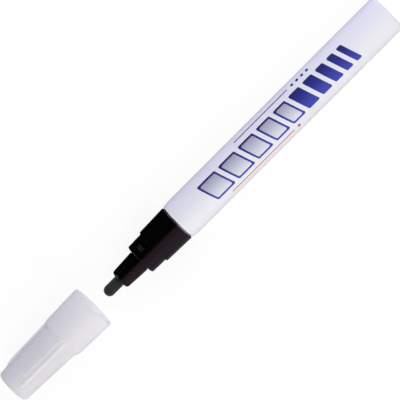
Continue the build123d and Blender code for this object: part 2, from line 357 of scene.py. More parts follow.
class Graph:
    """Material, world or group tree with short ways to add, set and join nodes."""

    MIX_MASK = 0
    MIX_COLOURS = slice(6, 8)
    MIX_RESULT = 2

    def __init__(self, tree: NodeTree) -> None:
        """Takes the tree to work in."""
        self.tree = tree

    def add(self, kind: str, **settings: object) -> Node:
        """Adds a node and sets its properties.

        Args:
            kind: The node's type name.
            settings: Properties of the node.

        Returns:
            The new node.
        """
        node = self.tree.nodes.new(kind)
        for key, value in settings.items():
            setattr(node, key, value)
        return node

    def put(self, socket: NodeSocket, value: object) -> None:
        """Joins an output to an input, or gives the input a fixed value.

        Args:
            socket: The input.
            value: An output socket or a fixed value.
        """
        if isinstance(value, NodeSocket):
            self.tree.links.new(value, socket)
        else:
            socket.default_value = value

    def feed(self, node: Node, **inputs: object) -> None:
        """Puts values into a node's inputs, named with underscores for spaces."""
        for key, value in inputs.items():
            self.put(node.inputs[key.replace("_", " ")], value)

    def axis(self, vector: NodeSocket, axis: Axis) -> NodeSocket:
        """One axis of a vector.

        Args:
            vector: The vector socket.
            axis: Which axis.

        Returns:
            The value socket.
        """
        node = self.add("ShaderNodeSeparateXYZ")
        self.feed(node, Vector=vector)
        return node.outputs[axis.value]

    def ramp(self, mask: NodeSocket, low: Colour, high: Colour) -> NodeSocket:
        """Colour between two, by a mask.

        Args:
            mask: Value from 0 to 1.
            low: Colour at 0.
            high: Colour at 1.

        Returns:
            The colour socket.
        """
        node = self.add("ShaderNodeValToRGB")
        for element, colour in zip(node.color_ramp.elements, (low, high)):
            element.color = (*colour, 1.0)
        self.feed(node, Fac=mask)
        return node.outputs["Color"]

    def between(
        self,
        mask: NodeSocket,
        low: float,
        high: float,
        edges: tuple[float, float] = (0.0, 1.0),
        way: Way = Way.EVEN,
    ) -> NodeSocket:
        """Value that goes from one to another while a mask goes from edge to edge.

        Args:
            mask: The mask's socket.
            low: Value at the first edge and before it.
            high: Value at the second edge and after it.
            edges: The two edges.
            way: Whether it goes evenly or softly.

        Returns:
            The value socket.
        """
        node = self.add("ShaderNodeMapRange", interpolation_type=way.value)
        self.feed(node, Value=mask, From_Min=edges[0], From_Max=edges[1], To_Min=low, To_Max=high)
        return node.outputs["Result"]

    def blend(self, mask: NodeSocket, low: Colour, high: NodeSocket) -> NodeSocket:
        """Colour between a fixed one and a fed one, by a mask.

        Args:
            mask: Value from 0 to 1.
            low: Colour at 0.
            high: Colour at 1.

        Returns:
            The colour socket.
        """
        node = self.add("ShaderNodeMix", data_type="RGBA")
        self.put(node.inputs[self.MIX_MASK], mask)
        for socket, colour in zip(node.inputs[self.MIX_COLOURS], ((*low, 1.0), high)):
            self.put(socket, colour)
        return node.outputs[self.MIX_RESULT]

    def joined(self, operation: Sum, *values: object) -> NodeSocket:
        """Result of a math operation.

        Args:
            operation: The operation.
            values: The sockets or fixed values that it takes.

        Returns:
            The result's socket.
        """
        kind, name, output = operation.value
        node = self.add(kind, operation=name)
        for socket, value in zip(node.inputs, values):
            self.put(socket, value)
        return node.outputs[output]

    def relief(self, height: NodeSocket, depth: float) -> NodeSocket:
        """Normal of a shallow relief.

        Args:
            height: Height from 0 to 1.
            depth: What a height of 1 stands for.

        Returns:
            The normal's socket.
        """
        node = self.add("ShaderNodeBump")
        self.feed(node, Height=height, Distance=depth)
        return node.outputs["Normal"]


class Effect(Enum):
    """Shared surface noise, each one node group: its name, its stretch along X and its detail."""

    MOTTLE = ("slow_mottle", 1.0, 2.0)
    GRAIN = ("fine_grain", 1.0, 3.0)
    LINES = ("lengthwise_lines", 0.04, 4.0)

    def group(self) -> NodeTree:
        """Group that turns Object coordinates into noise, with the features per metre as its input.

        Returns:
            The group, made at its first use.
        """
        name, stretch, detail = self.value
        known = bpy.data.node_groups.get(name)
        if known:
            return known
        tree = bpy.data.node_groups.new(name, "ShaderNodeTree")
        tree.interface.new_socket(name="Scale", in_out="INPUT", socket_type="NodeSocketFloat")
        tree.interface.new_socket(name="Mask", in_out="OUTPUT", socket_type="NodeSocketFloat")
        graph = Graph(tree)
        scale = graph.add("NodeGroupInput").outputs["Scale"]
        place = graph.add("ShaderNodeTexCoord").outputs["Object"]
        drawn = graph.add("ShaderNodeMapping")
        noise = graph.add("ShaderNodeTexNoise")
        graph.feed(drawn, Vector=place, Scale=(stretch, 1.0, 1.0))
        graph.feed(noise, Vector=drawn.outputs["Vector"], Scale=scale, Detail=detail)
        graph.feed(graph.add("NodeGroupOutput"), Mask=noise.outputs[0])
        return tree

    def mask(self, graph: Graph, scale: float) -> NodeSocket:
        """Mask of the noise inside a material.

        Args:
            graph: The material's graph.
            scale: Features per metre.

        Returns:
            The mask's socket.
        """
        node = graph.add("ShaderNodeGroup", node_tree=self.group())
        graph.feed(node, Scale=scale)
        return node.outputs["Mask"]


@dataclass(frozen=True)
class Finish:
    """Surface with a mottled colour, uneven gloss and a shallow grain.

    low and high are the ends of the colour's mottle, gloss the ends of the roughness, mottle and grain the
    features per metre, depth the grain's height, and streaked draws the grain out along the marker.
    """

    SCATTER_REACH = (1.0, 0.95, 1.0)

    name: str
    low: Colour
    high: Colour
    gloss: tuple[float, float] = (0.3, 0.4)
    mottle: float = 260.0
    grain: float = 6000.0
    depth: float = 0.004 * MM
    streaked: bool = False
    metallic: float = 0.0
    level: float = 0.5
    tint: Colour = WHITE
    scatter: float = 0.0
    scatter_depth: float = 1.0 * MM
    sheen: float = 0.0

    def make(self) -> Material:
        """Builds the material.

        Returns:
            The new material.
        """
        material = bpy.data.materials.new(self.name)
        material.use_nodes = True
        graph = Graph(material.node_tree)
        tone = Effect.MOTTLE.mask(graph, self.mottle)
        grain = (Effect.LINES if self.streaked else Effect.GRAIN).mask(graph, self.grain)
        graph.feed(
            material.node_tree.nodes["Principled BSDF"],
            Base_Color=self.colour(graph, tone),
            Roughness=graph.between(tone, *self.gloss),
            Normal=graph.relief(grain, self.depth),
            Metallic=self.metal(graph),
            Specular_IOR_Level=self.level,
            Specular_Tint=(*self.tint, 1.0),
            Subsurface_Weight=self.scatter,
            Subsurface_Radius=self.SCATTER_REACH,
            Subsurface_Scale=self.scatter_depth,
            Sheen_Weight=self.sheen,
        )
        return material

    def colour(self, graph: Graph, tone: NodeSocket) -> NodeSocket:
        """Mottled colour of the surface."""
        return graph.ramp(tone, self.low, self.high)

    def metal(self, graph: Graph) -> NodeSocket | float:
        """Share of bare metal in the surface."""
        return self.metallic


@dataclass(frozen=True)
class EnamelFinish(Finish):
    """Enamel that stops short of the tube's rolled lip and leaves bare aluminium there.

    edge is the place on X where the enamel starts, soft the width of its feathered edge, bare the metal's
    colour, darkened and tinted lilac as painted shade for the recess behind the collar, and bright how much
    of it is free of oxide.
    """

    edge: float = 0.0
    soft: float = 0.1 * MM
    # The lip is bare metal, but this dark lilac colour is painted shade for the recess behind the collar.
    bare: Colour = (0.46, 0.45, 0.57)
    bright: float = 0.85

    def cover(self, graph: Graph) -> NodeSocket:
        """Mask of the enamel: 0 on the lip and 1 behind the feathered edge."""
        place = graph.axis(graph.add("ShaderNodeTexCoord").outputs["Object"], Axis.X)
        return graph.between(place, 0.0, 1.0, (self.edge - self.soft, self.edge))

    def colour(self, graph: Graph, tone: NodeSocket) -> NodeSocket:
        """Mottled enamel, or bare metal darkened with painted shade on the lip."""
        return graph.blend(self.cover(graph), self.bare, graph.ramp(tone, self.low, self.high))

    def metal(self, graph: Graph) -> NodeSocket | float:
        """Bare metal on the lip alone."""
        return graph.between(self.cover(graph), self.bright, 0.0)


@dataclass(frozen=True)
class MilkyFinish(Finish):
    """Plastic that lets part of the light through, with painted highlights and painted shade from the piece's
    attribute.

    through is the share of light that passes, and passed its colour. The piece's own attribute sets the
    painted light and shade: 0 is painted shade on a rib's middle, 0.5 plain, and 1 painted highlights on the
    ribs' edges and painted light inside.
    """

    through: float = 0.41
    passed: Colour = (0.98, 0.97, 0.985)
    uneven: float = 0.06

    def make(self) -> Material:
        """Builds the material, with a see-through share beside the surface.

        Returns:
            The new material.
        """
        material = super().make()
        graph = Graph(material.node_tree)
        nodes = material.node_tree.nodes
        inner = graph.add("ShaderNodeBsdfTranslucent")
        both = graph.add("ShaderNodeMixShader")
        graph.feed(inner, Color=(*self.passed, 1.0))
        shares = (self.through, nodes["Principled BSDF"].outputs["BSDF"], inner.outputs["BSDF"])
        for socket, value in zip(both.inputs, shares):
            graph.put(socket, value)
        graph.feed(nodes["Material Output"], Surface=both.outputs["Shader"])
        return material

    def colour(self, graph: Graph, tone: NodeSocket) -> NodeSocket:
        """Colour by the piece's painted light and shade, made a little uneven by the mottle.

        Args:
            graph: The material's graph.
            tone: The mottle.

        Returns:
            The colour socket.
        """
        # This attribute is painted shade on the ribs' middles and painted highlights on their edges and
        # inside.
        painted_light_and_shade = graph.add("ShaderNodeAttribute", attribute_name=Cap.SHADE_ATTRIBUTE_NAME)
        spread = graph.between(tone, -self.uneven, self.uneven)
        return graph.ramp(graph.joined(Sum.ADD, painted_light_and_shade.outputs["Fac"], spread), self.low, self.high)


@dataclass(frozen=True)
class InkFinish(Finish):
    """Printed ink that runs from one colour to the other across the print."""

    gloss: tuple[float, float] = (0.3, 0.42)

    def colour(self, graph: Graph, tone: NodeSocket) -> NodeSocket:
        """Colour that follows the print's own UV map across the barrel."""
        place = graph.add("ShaderNodeUVMap", uv_map=Print.UV_NAME)
        return graph.ramp(graph.axis(place.outputs["UV"], Axis.Y), self.low, self.high)


class Finishes:
    """The marker's finishes."""

    ENAMEL = EnamelFinish(
        "white_enamel", (0.755, 0.757, 0.805), (0.785, 0.787, 0.83), gloss=(0.16, 0.26), grain=2200.0,
        depth=0.002 * MM,
    )
    BLACK = Finish(
        "black_moulding", (0.0009, 0.0007, 0.0009), (0.0016, 0.0012, 0.0015), gloss=(0.1, 0.16), grain=3000.0,
        depth=0.0015 * MM, tint=(1.0, 0.68, 0.9),
    )
    FELT = Finish(
        "nib_felt", (0.013, 0.0145, 0.0135), (0.024, 0.0255, 0.024), gloss=(0.8, 0.95), mottle=1800.0,
        grain=9000.0, depth=0.03 * MM, streaked=True, level=0.2, sheen=0.2,
    )
    MILKY = MilkyFinish(
        "milky_cap", (0.63, 0.623, 0.637), (0.99, 0.985, 0.995), gloss=(0.28, 0.4), mottle=180.0,
        grain=2600.0, depth=0.002 * MM,
    )
    LINER = Finish("inner_cap_plastic", (0.92, 0.92, 0.93), (0.96, 0.96, 0.97), gloss=(0.4, 0.55))
    NATURAL = Finish("valve_plastic", (0.76, 0.75, 0.7), (0.84, 0.83, 0.79), gloss=(0.35, 0.5), scatter=0.2)
    RUBBER = Finish("seal_rubber", (0.02, 0.02, 0.021), (0.036, 0.036, 0.037), gloss=(0.7, 0.85))
    SPRING = Finish(
        "spring_steel", (0.5, 0.5, 0.51), (0.66, 0.66, 0.67), gloss=(0.18, 0.32), streaked=True, metallic=1.0
    )
    BALL = Finish("ball_steel", (0.56, 0.56, 0.57), (0.66, 0.66, 0.67), gloss=(0.08, 0.16), metallic=1.0)
    BLUE_INK = InkFinish("blue_ink", (0.012, 0.013, 0.14), (0.036, 0.05, 0.42))
    SILVER_INK = InkFinish("silver_ink", (0.3, 0.31, 0.42), (0.74, 0.75, 0.82))
    NAVY_INK = InkFinish("navy_ink", (0.012, 0.012, 0.14), (0.014, 0.014, 0.16))
    RED_INK = InkFinish("red_ink", (0.5, 0.045, 0.06), (0.54, 0.06, 0.075))


@dataclass
class Barrel:
    """White enamelled tube: flat rear end, and a bare rolled lip that stands in a little at the front."""

    wall: float = 0.5 * MM
    base_wall: float = 0.8 * MM
    inner_round: float = 0.8 * MM
    lip_bore: float = 5.45 * MM
    lip_radius: float = 6.75 * MM
    lip_width: float = 0.65 * MM
    lip_edge: float = 0.15 * MM
    shoulder_drop: float = 0.25 * MM
    shoulder_length: float = 2.2 * MM
    shoulder_ease: float = 4.0 * MM
    rear_edge: float = 0.9 * MM
    span: Span = field(default_factory=partial(Span.of, "barrel"))

    def corners(self) -> list[Corner]:
        """Outline from the chamber's end forward along the inside, over the lip and back outside.

        Returns:
            The outline's corners.
        """
        span = self.span
        chamber = span.radius - self.wall
        chamber_end = span.rear - self.base_wall
        inside = span.front + self.wall
        start = span.front + self.lip_width
        return [
            Corner(chamber_end, 0.0),
            Corner(chamber_end, chamber, self.rear_edge - self.wall),
            Corner(inside, chamber, self.inner_round),
            Corner(inside, self.lip_bore),
            Corner(span.front, self.lip_bore),
            Corner(span.front, self.lip_radius, self.lip_edge),
            Corner(start, self.lip_radius),
            Corner(start, span.radius - self.shoulder_drop, self.lip_edge),
            Corner(start + self.shoulder_length, span.radius, self.shoulder_ease),
            Corner(span.rear, span.radius, self.rear_edge),
            Corner(span.rear, 0.0),
        ]

    def build(self) -> None:
        """Builds and dresses the tube."""
        surface = turned(self.corners(), self.span.height, closed=False)
        enamel = replace(Finishes.ENAMEL, edge=self.span.front + self.lip_width + self.lip_edge)
        piece("barrel_tube", surface, enamel.make(), Body.MARKER, Slot.WHITE_ENAMEL, "barrel")


@dataclass
class Print:
    """Plain printed pattern on the barrel: slanted bars, two rules and a few dots.

    Places along are measured from the barrel's lip and places across on the barrel's skin from its upper
    line, towards -Y. A rule's three numbers are its start, its end and its place across.
    """

    UV_NAME = "print_across"

    film: float = 0.02 * MM
    sunk: float = 0.03 * MM
    rings: int = 12
    spacing: float = 0.3 * MM
    first_bar: float = 15.0 * MM
    bar_count: int = 10
    widest_bar: float = 8.6 * MM
    narrowest_bar: float = 2.4 * MM
    bar_gap: float = 1.7 * MM
    bar_low: float = -3.9 * MM
    bar_high: float = 4.8 * MM
    slant: float = 0.32
    bar_ease: float = 0.55 * MM
    core_inset: float = 0.75 * MM
    core_count: int = 5
    rule_width: float = 0.42 * MM
    navy_rule: tuple[float, float, float] = (34.0 * MM, 60.0 * MM, -6.5 * MM)
    red_rule: tuple[float, float, float] = (22.0 * MM, 52.0 * MM, 6.9 * MM)
    dot_radius: float = 0.62 * MM
    dot_points: int = 36
    dot_count: int = 4
    dot_pitch: float = 2.4 * MM
    span: Span = field(default_factory=partial(Span.of, "barrel"))

    def film_over(self, outline: np.ndarray, lift: float) -> Skin:
        """Thin film over a star-shaped outline, wrapped round the barrel.

        Rings shrink the outline evenly to its centre on the film's top and again on its underside, which
        lies inside the tube's wall. A place across becomes the angle across / radius.

        Args:
            outline: Points (along, across), counter-clockwise.
            lift: Height of the ink's base above the barrel's skin.

        Returns:
            The closed film.
        """
        front, height = self.span.front, self.span.height
        radius = self.span.radius + lift
        outline = refined(outline, self.spacing)
        centre = (outline.min(axis=0) + outline.max(axis=0)) / 2
        shares = np.linspace(0, 1, self.rings + 1)[1:]
        top = centre + (outline - centre) * shares[:, None, None]
        flat = np.concatenate([top, top[::-1]])
        faces_out = radius + np.array([self.film, -self.sunk])
        ring_out = np.repeat(faces_out, self.rings)[:, None]
        grid = around(front + flat[..., 0], ring_out, flat[..., 1] / radius, height)
        poles = around(front + centre[0], faces_out, centre[1] / radius, height)
        return skin(grid, poles)

    def patch(
        self, along: tuple[float, float], across: tuple[float, float], slant: float, ease: float
    ) -> np.ndarray:
        """Outline with four eased corners, which leans by the slant times the place across.

        Args:
            along: Its start and end on the barrel's upper line.
            across: Its two edges.
            slant: How much it leans.
            ease: Radius of its corners.

        Returns:
            Points of the outline, one row each.
        """
        start, end = along
        low, high = across
        marks = [(start, low), (end, low), (end, high), (start, high)]
        return trace([Corner(place + edge * slant, edge, ease) for place, edge in marks], closed=True)

    def bar(self, start: float, width: float, inset: float) -> np.ndarray:
        """Outline of one slanted bar, drawn in by an inset on all sides."""
        along = (start + inset, start + width - inset)
        return self.patch(along, (self.bar_low + inset, self.bar_high - inset), self.slant, self.bar_ease)

    def rule(self, start: float, end: float, across: float) -> np.ndarray:
        """Outline of a thin rule along the barrel."""
        half = self.rule_width / 2
        return self.patch((start, end), (across - half, across + half), 0.0, EASED_EDGE)

    def dot(self, along: float, across: float) -> np.ndarray:
        """Outline of a round dot."""
        turn = even_turn(self.dot_points)
        return np.array([along, across]) + self.dot_radius * np.stack([np.cos(turn), np.sin(turn)], axis=1)

    def lay(self, name: str, outlines: list[np.ndarray], finish: Finish, lift: float = 0.0) -> None:
        """Prints outlines in one ink and gives them a UV map that runs across the bars.

        Args:
            name: The piece's name.
            outlines: The outlines.
            finish: The ink.
            lift: Height of this ink above the barrel's skin.
        """
        surface = merged([self.film_over(outline, lift) for outline in outlines])
        mesh = piece(name, surface, finish.make(), Body.MARKER).data
        x, y, z = surface[0].T
        across = np.arctan2(-y, z - self.span.height) * self.span.radius
        share = (across - self.bar_low) / (self.bar_high - self.bar_low)
        along = (x - self.span.front) / self.span.length
        corner_points = np.zeros(len(mesh.loops), int)
        mesh.loops.foreach_get("vertex_index", corner_points)
        layer = mesh.uv_layers.new(name=self.UV_NAME)
        layer.data.foreach_set("uv", np.stack([along, share], axis=1)[corner_points].ravel())

    def build(self) -> None:
        """Builds the bars, their silver cores, the rules and the dots."""
        widths = np.linspace(self.widest_bar, self.narrowest_bar, self.bar_count)
        starts = self.first_bar + np.concatenate([[0.0], np.cumsum(widths + self.bar_gap)[:-1]])
        places = list(zip(starts, widths))
        bars = [self.bar(*place, 0.0) for place in places]
        cores = [self.bar(*place, self.core_inset) for place in places[: self.core_count]]
        _, navy_end, navy_across = self.navy_rule
        _, red_end, red_across = self.red_rule
        steps = self.dot_pitch * np.arange(1, self.dot_count + 1)
        navy = [self.rule(*self.navy_rule), *[self.dot(navy_end + step, navy_across) for step in steps]]
        red = [self.rule(*self.red_rule), self.dot(red_end + self.dot_pitch, red_across)]
        self.lay("print_bars", bars, Finishes.BLUE_INK)
        self.lay("print_bar_cores", cores, Finishes.SILVER_INK, lift=self.film)
        self.lay("print_navy_rule", navy, Finishes.NAVY_INK)
        self.lay("print_red_rule", red, Finishes.RED_INK)


@dataclass
class FrontEnd:
    """Black collar with its stepped neck, and the black nose in front of it."""

    collar_length: float = 11.6 * MM
    collar_front_radius: float = 6.89 * MM
    collar_rear_radius: float = 7.22 * MM
    collar_edge: float = 0.2 * MM
    neck_length: float = 6.5 * MM
    neck_rear_radius: float = 6.22 * MM
    neck_front_radius: float = 6.08 * MM
    neck_edge: float = 0.45 * MM
    step_edge: float = 0.08 * MM
    bead_setbacks: tuple[float, float] = (2.75 * MM, 3.62 * MM)
    bead_width: float = 0.6 * MM
    bead_bevel: float = 0.22 * MM
    bead_ease: float = 0.22 * MM / 3
    bead_height: float = 0.06 * MM
    front_wall: float = 3.5 * MM
    bore_radius: float = 4.75 * MM
    stem_radius: float = 5.4 * MM
    plug_front: float = 1.3 * MM
    plug_radius: float = 6.95 * MM
    nose_length: float = 10.2 * MM
    nose_front_radius: float = 3.7 * MM
    nose_rear_radius: float = 4.21 * MM
    nose_edge: float = 0.95 * MM
    groove_width: float = 0.6 * MM
    groove_depth: float = 0.35 * MM
    barb_height: float = 0.25 * MM
    nib_bore_radius: float = 2.15 * MM
    fit: float = 0.02 * MM

    def neck_radius(self, depth: float) -> float:
        """Radius of the neck at a depth behind its front, on its slight taper."""
        share = depth / self.neck_length
        return self.neck_front_radius + (self.neck_rear_radius - self.neck_front_radius) * share

    def bead(self, front: float, setback: float) -> list[Corner]:
        """Corners of one bead: a low flat top between two bevels, on the neck's taper.

        Args:
            front: Place of the neck's front on X.
            setback: How far behind it the bead starts.

        Returns:
            The four corners.
        """
        steps = np.array([0.0, self.bead_bevel, self.bead_width - self.bead_bevel, self.bead_width])
        heights = (0.0, self.bead_height, self.bead_height, 0.0)
        return [
            Corner(front + depth, self.neck_radius(depth) + height, self.bead_ease)
            for depth, height in zip(steps + setback, heights)
        ]

    def collar_corners(self, span: Span) -> list[Corner]:
        """Ring outline: neck, two fine beads, step, taper and plug outside, and the bore inside.

        Args:
            span: The collar's span.

        Returns:
            The outline's corners.
        """
        front = span.front
        step = front + self.neck_length
        lip = step + self.collar_length
        hole = self.nose_rear_radius - self.groove_depth + self.fit
        return [
            Corner(front, hole),
            Corner(front, self.neck_front_radius, self.neck_edge),
            *[corner for setback in self.bead_setbacks for corner in self.bead(front, setback)],
            Corner(step, self.neck_rear_radius, self.step_edge),
            Corner(step, self.collar_front_radius, self.step_edge),
            Corner(lip, self.collar_rear_radius, self.collar_edge),
            Corner(lip, self.stem_radius),
            Corner(lip + self.plug_front, self.stem_radius),
            Corner(lip + self.plug_front, self.plug_radius),
            Corner(span.rear, self.plug_radius),
            Corner(span.rear, self.bore_radius),
            Corner(front + self.front_wall, self.bore_radius),
            Corner(front + self.front_wall, hole),
        ]

    def nose_corners(self, span: Span) -> list[Corner]:
        """Ring outline: rounded cone, groove, shank and barb outside, and the nib's bore inside.

        Args:
            span: The nose's span.

        Returns:
            The outline's corners.
        """
        foot = span.front + self.nose_length
        groove = foot - self.groove_width
        shank = self.nose_rear_radius - self.groove_depth
        wall_rear = foot + self.front_wall
        return [
            Corner(span.front, self.nib_bore_radius),
            Corner(span.front, self.nose_front_radius, self.nose_edge),
            Corner(groove, self.nose_rear_radius),
            Corner(groove, shank),
            Corner(wall_rear, shank),
            Corner(wall_rear, shank + self.barb_height),
            Corner(span.rear, shank),
            Corner(span.rear, self.nib_bore_radius),
        ]

    def build(self) -> None:
        """Builds and dresses the collar and the nose."""
        black = Finishes.BLACK.make()
        for node, name, corners in (
            ("front_collar", "collar_moulding", self.collar_corners),
            ("nose", "nose_moulding", self.nose_corners),
        ):
            span = Span.of(node)
            surface = turned(corners(span), span.height, closed=True)
            piece(name, surface, black, Body.MARKER, Slot.BLACK_PLASTIC, node)


@dataclass
class Nib:
    """Felt rod with a bullet end."""

    round_share: float = 0.97
    rear_bevel: float = 0.4 * MM
    span: Span = field(default_factory=partial(Span.of, "nib"))

    def build(self) -> None:
        """Builds and dresses the rod."""
        span = self.span
        corners = [
            Corner(span.front, 0.0),
            Corner(span.front, span.radius, span.radius * self.round_share),
            Corner(span.rear - self.rear_bevel, span.radius),
            Corner(span.rear, span.radius - self.rear_bevel),
            Corner(span.rear, 0.0),
        ]
        surface = turned(corners, span.height, closed=False)
        piece("nib_rod", surface, Finishes.FELT.make(), Body.PUMP, Slot.NIB_FELT, "nib")


@dataclass
class Cap:
    """Milky cap with three long ribs, and the soft cup inside it. Depths are measured from the mouth.

    STEPS places the columns on half a rib. Marks 0 to 4 are the rib's middle, the start and end of its eased
    edge, its foot, and the line midway to the next rib. A step's fraction is the share of the way to the next
    mark. A further table gives the painted light and shade at some steps: painted shade on the rib's middle
    and painted highlights on its edges and foot.
    """

    # Painted light and shade of the cap: painted shade on the ribs' middles, painted highlights on their
    # edges and feet, and painted light all over the inside.
    SHADE_ATTRIBUTE_NAME = "rib_painted_shade"
    PLAIN_TONE = 0.5
    INSIDE_PAINTED_LIGHT = 1.0
    PAINTED_SHADES = {0.0: 0.14, 0.6: 0.3, 1.0: 0.65, 2.0: 0.85, 2.8: 0.98, 3.2: PLAIN_TONE}
    STEPS = np.concatenate(
        [
            [0.0, 0.25, 0.5, 0.75, 0.92],
            1 + np.linspace(0, 1, 6),
            2 + np.array([0.15, 0.3, 0.45, 0.6, 0.7, 0.8, 0.9, 1.0]),
            3 + np.array([0.015, 0.04]),
            3 + np.linspace(0.08, 1, 20),
        ]
    )

    mouth_radius: float = 8.65 * MM
    skirt_length: float = 15.0 * MM
    skirt_end_radius: float = 8.24 * MM
    step_length: float = 2.0 * MM
    step_ease: float = 1.5 * MM
    step_foot: float = 0.25 * MM
    body_radius: float = 7.36 * MM
    body_end_radius: float = 6.42 * MM
    end_ease: float = 1.4 * MM
    crown: float = 0.3 * MM
    rim_ease: float = 0.3 * MM
    lead_in: float = 0.35 * MM
    bore_radius: float = 7.4 * MM
    bore_end_radius: float = 6.985 * MM
    bore_depth: float = 14.6 * MM
    bore_step: float = 2.0 * MM
    neck_bore_radius: float = 6.47 * MM
    neck_depth: float = 18.2 * MM
    pocket_radius: float = 5.5 * MM
    end_wall: float = 1.4 * MM
    dome_share: float = 0.75
    dome_rows: int = 6
    rib_count: int = 3
    rib_phase: float = math.radians(9.0)
    rib_width: float = 1.75 * MM
    rib_start_height: float = 0.88 * MM
    rib_end_height: float = 1.05 * MM
    rib_length: float = 19.2 * MM
    rib_tip_run: float = 5.0 * MM
    rib_root: float = 0.4 * MM
    rib_ease: float = 0.15 * MM
    rib_draft: float = 0.42
    rib_lead: float = 1.2 * MM
    rib_rows: int = 60
    rib_row_gap: float = EASED_EDGE / 3
    foot_blend: float = 0.12 * MM
    # Height over which the ribs' painted light and shade fade in.
    painted_shade_fade: float = 0.3 * MM
    cup_bore_radius: float = 4.39 * MM
    cup_end_wall: float = 0.9 * MM
    cup_ease: float = 0.8 * MM
    cup_lead_in: float = 0.3 * MM
    span: Span = field(default_factory=partial(Span.of, "cap_shell"))
    cup_span: Span = field(default_factory=partial(Span.of, "inner_cap"))

    def outline(self) -> np.ndarray:
        """Outline from the closed end's middle along the outside to the mouth, and back inside.

        The closed end is a shallow dome: its place grows with the square of the radius.

        Returns:
            Points (along, radius), one row each.
        """
        front, mouth = self.span.front, self.span.rear
        share = np.linspace(0, self.dome_share, self.dome_rows)[:, None]
        dome = np.hstack([front + self.crown * share**2, self.body_end_radius * share])
        pocket_end = front + self.end_wall
        sides = [
            Corner(*dome[-1]),
            Corner(front + self.crown, self.body_end_radius, self.end_ease),
            Corner(mouth - self.skirt_length - self.step_length, self.body_radius, self.step_foot),
            Corner(mouth - self.skirt_length, self.skirt_end_radius, self.step_ease),
            Corner(mouth, self.mouth_radius, self.rim_ease),
            Corner(mouth, self.bore_radius + self.lead_in),
            Corner(mouth - self.lead_in, self.bore_radius),
            Corner(mouth - self.bore_depth, self.bore_end_radius),
            Corner(mouth - self.bore_depth - self.bore_step, self.neck_bore_radius),
            Corner(mouth - self.neck_depth, self.neck_bore_radius),
            Corner(mouth - self.neck_depth, self.pocket_radius),
            Corner(pocket_end, self.pocket_radius, self.cup_ease),
            Corner(pocket_end, 0.0),
        ]
        return np.vstack([dome[:-1], trace(sides, closed=False)])

    def body_radius_at(self, depth: float) -> float:
        """Radius of the narrow body on its taper.

        Args:
            depth: Depth from the mouth.

        Returns:
            The radius.
        """
        start = self.skirt_length + self.step_length
        share = (depth - start) / (self.span.length - self.crown - start)
        return self.body_radius + (self.body_end_radius - self.body_radius) * share

    def rib_places(self) -> np.ndarray:
        """Depths where the ribs come up in the skirt, reach their height, start their tips and end."""
        end = self.skirt_length + self.rib_length
        return np.array([self.skirt_length - self.rib_lead, self.skirt_length, end, end + self.rib_tip_run])

    def rib_top(self, depth: np.ndarray) -> np.ndarray:
        """Height of the ribs' flat tops above the axis.

        The top comes up out of the skirt, falls evenly to the rib's end, and goes down a short ramp into
        the body.

        Args:
            depth: Depths from the mouth.

        Returns:
            The heights, zero where there is no rib.
        """
        places = self.rib_places()
        lead, start, end, tip = places
        first = self.body_radius_at(start) + self.rib_start_height
        heights = [
            first - self.rib_root,
            first,
            self.body_radius_at(end) + self.rib_end_height,
            self.body_radius_at(tip) - self.rib_root,
        ]
        return np.where((depth < lead) | (depth > tip), 0.0, np.interp(depth, places, heights))

    def rib_marks(self, top: np.ndarray) -> tuple[np.ndarray, np.ndarray, float]:
        """Angles at which a rib's flat top ends and its slanted side starts, and the eased edge's middle.

        Args:
            top: Height of the top above the axis.

        Returns:
            The two angles from the rib's middle, and how far across the eased edge's centre lies.
        """
        slope = math.hypot(1.0, self.rib_draft)
        middle = self.rib_width / 2 - self.rib_ease * (slope - self.rib_draft)
        side_start = np.arctan2(
            middle + self.rib_ease / slope, top - self.rib_ease + self.rib_ease * self.rib_draft / slope
        )
        return np.arctan2(middle, top), side_start, middle

    def rib_radius(self, top: np.ndarray, angle: np.ndarray) -> np.ndarray:
        """Distance from the axis to a rib's surface, by the angle from the rib's middle.

        The flat top is top / cos(angle). The slanted side is the straight line that widens by the draft,
        (half the width + top * draft) / (sin(angle) + draft * cos(angle)). Between them lies the eased edge,
        an arc met by the ray at that angle.

        Args:
            top: Height of the rib's top in each row, as a column.
            angle: Angles, rows by columns.

        Returns:
            The distances, zero where there is no rib.
        """
        bearing = np.abs(angle)
        sine = np.sin(bearing)
        cosine = np.cos(bearing)
        solid = np.maximum(top, self.pocket_radius)
        top_end, side_start, middle = self.rib_marks(solid)
        crest = solid - self.rib_ease
        side = (self.rib_width / 2 + solid * self.rib_draft) / (sine + self.rib_draft * cosine)
        reach = self.rib_ease**2 - (middle * cosine - crest * sine) ** 2
        eased = middle * sine + crest * cosine + np.sqrt(np.maximum(reach, 0.0))
        surface = np.where(bearing < top_end, solid / cosine, np.where(bearing < side_start, eased, side))
        return np.where(top > 0, surface, 0.0)

    def rib_angles(self, radius: np.ndarray, top: np.ndarray) -> np.ndarray:
        """Angles of the columns round one rib, from its middle, closer together at its edges.

        Each column lies at its fixed share between two of the marks of its row.

        Args:
            radius: Radius of each row, as a column.
            top: Height of the rib's top in each row, as a column.

        Returns:
            Angles, rows by columns.
        """
        near = np.maximum(radius, self.pocket_radius)
        crest = np.maximum(top, near + self.rib_start_height)
        top_end, side_start, _ = self.rib_marks(crest)
        foot = (self.rib_width / 2 + (crest - near) * self.rib_draft + self.foot_blend) / near
        middle = np.zeros_like(near)
        marks = np.hstack([middle, top_end, side_start, foot, middle + np.pi / self.rib_count])
        mark = np.minimum(self.STEPS.astype(int), marks.shape[1] - 2)
        share = self.STEPS - mark
        half_turn = marks[:, mark] * (1 - share) + marks[:, mark + 1] * share
        return np.hstack([-half_turn[:, -2:0:-1], half_turn])

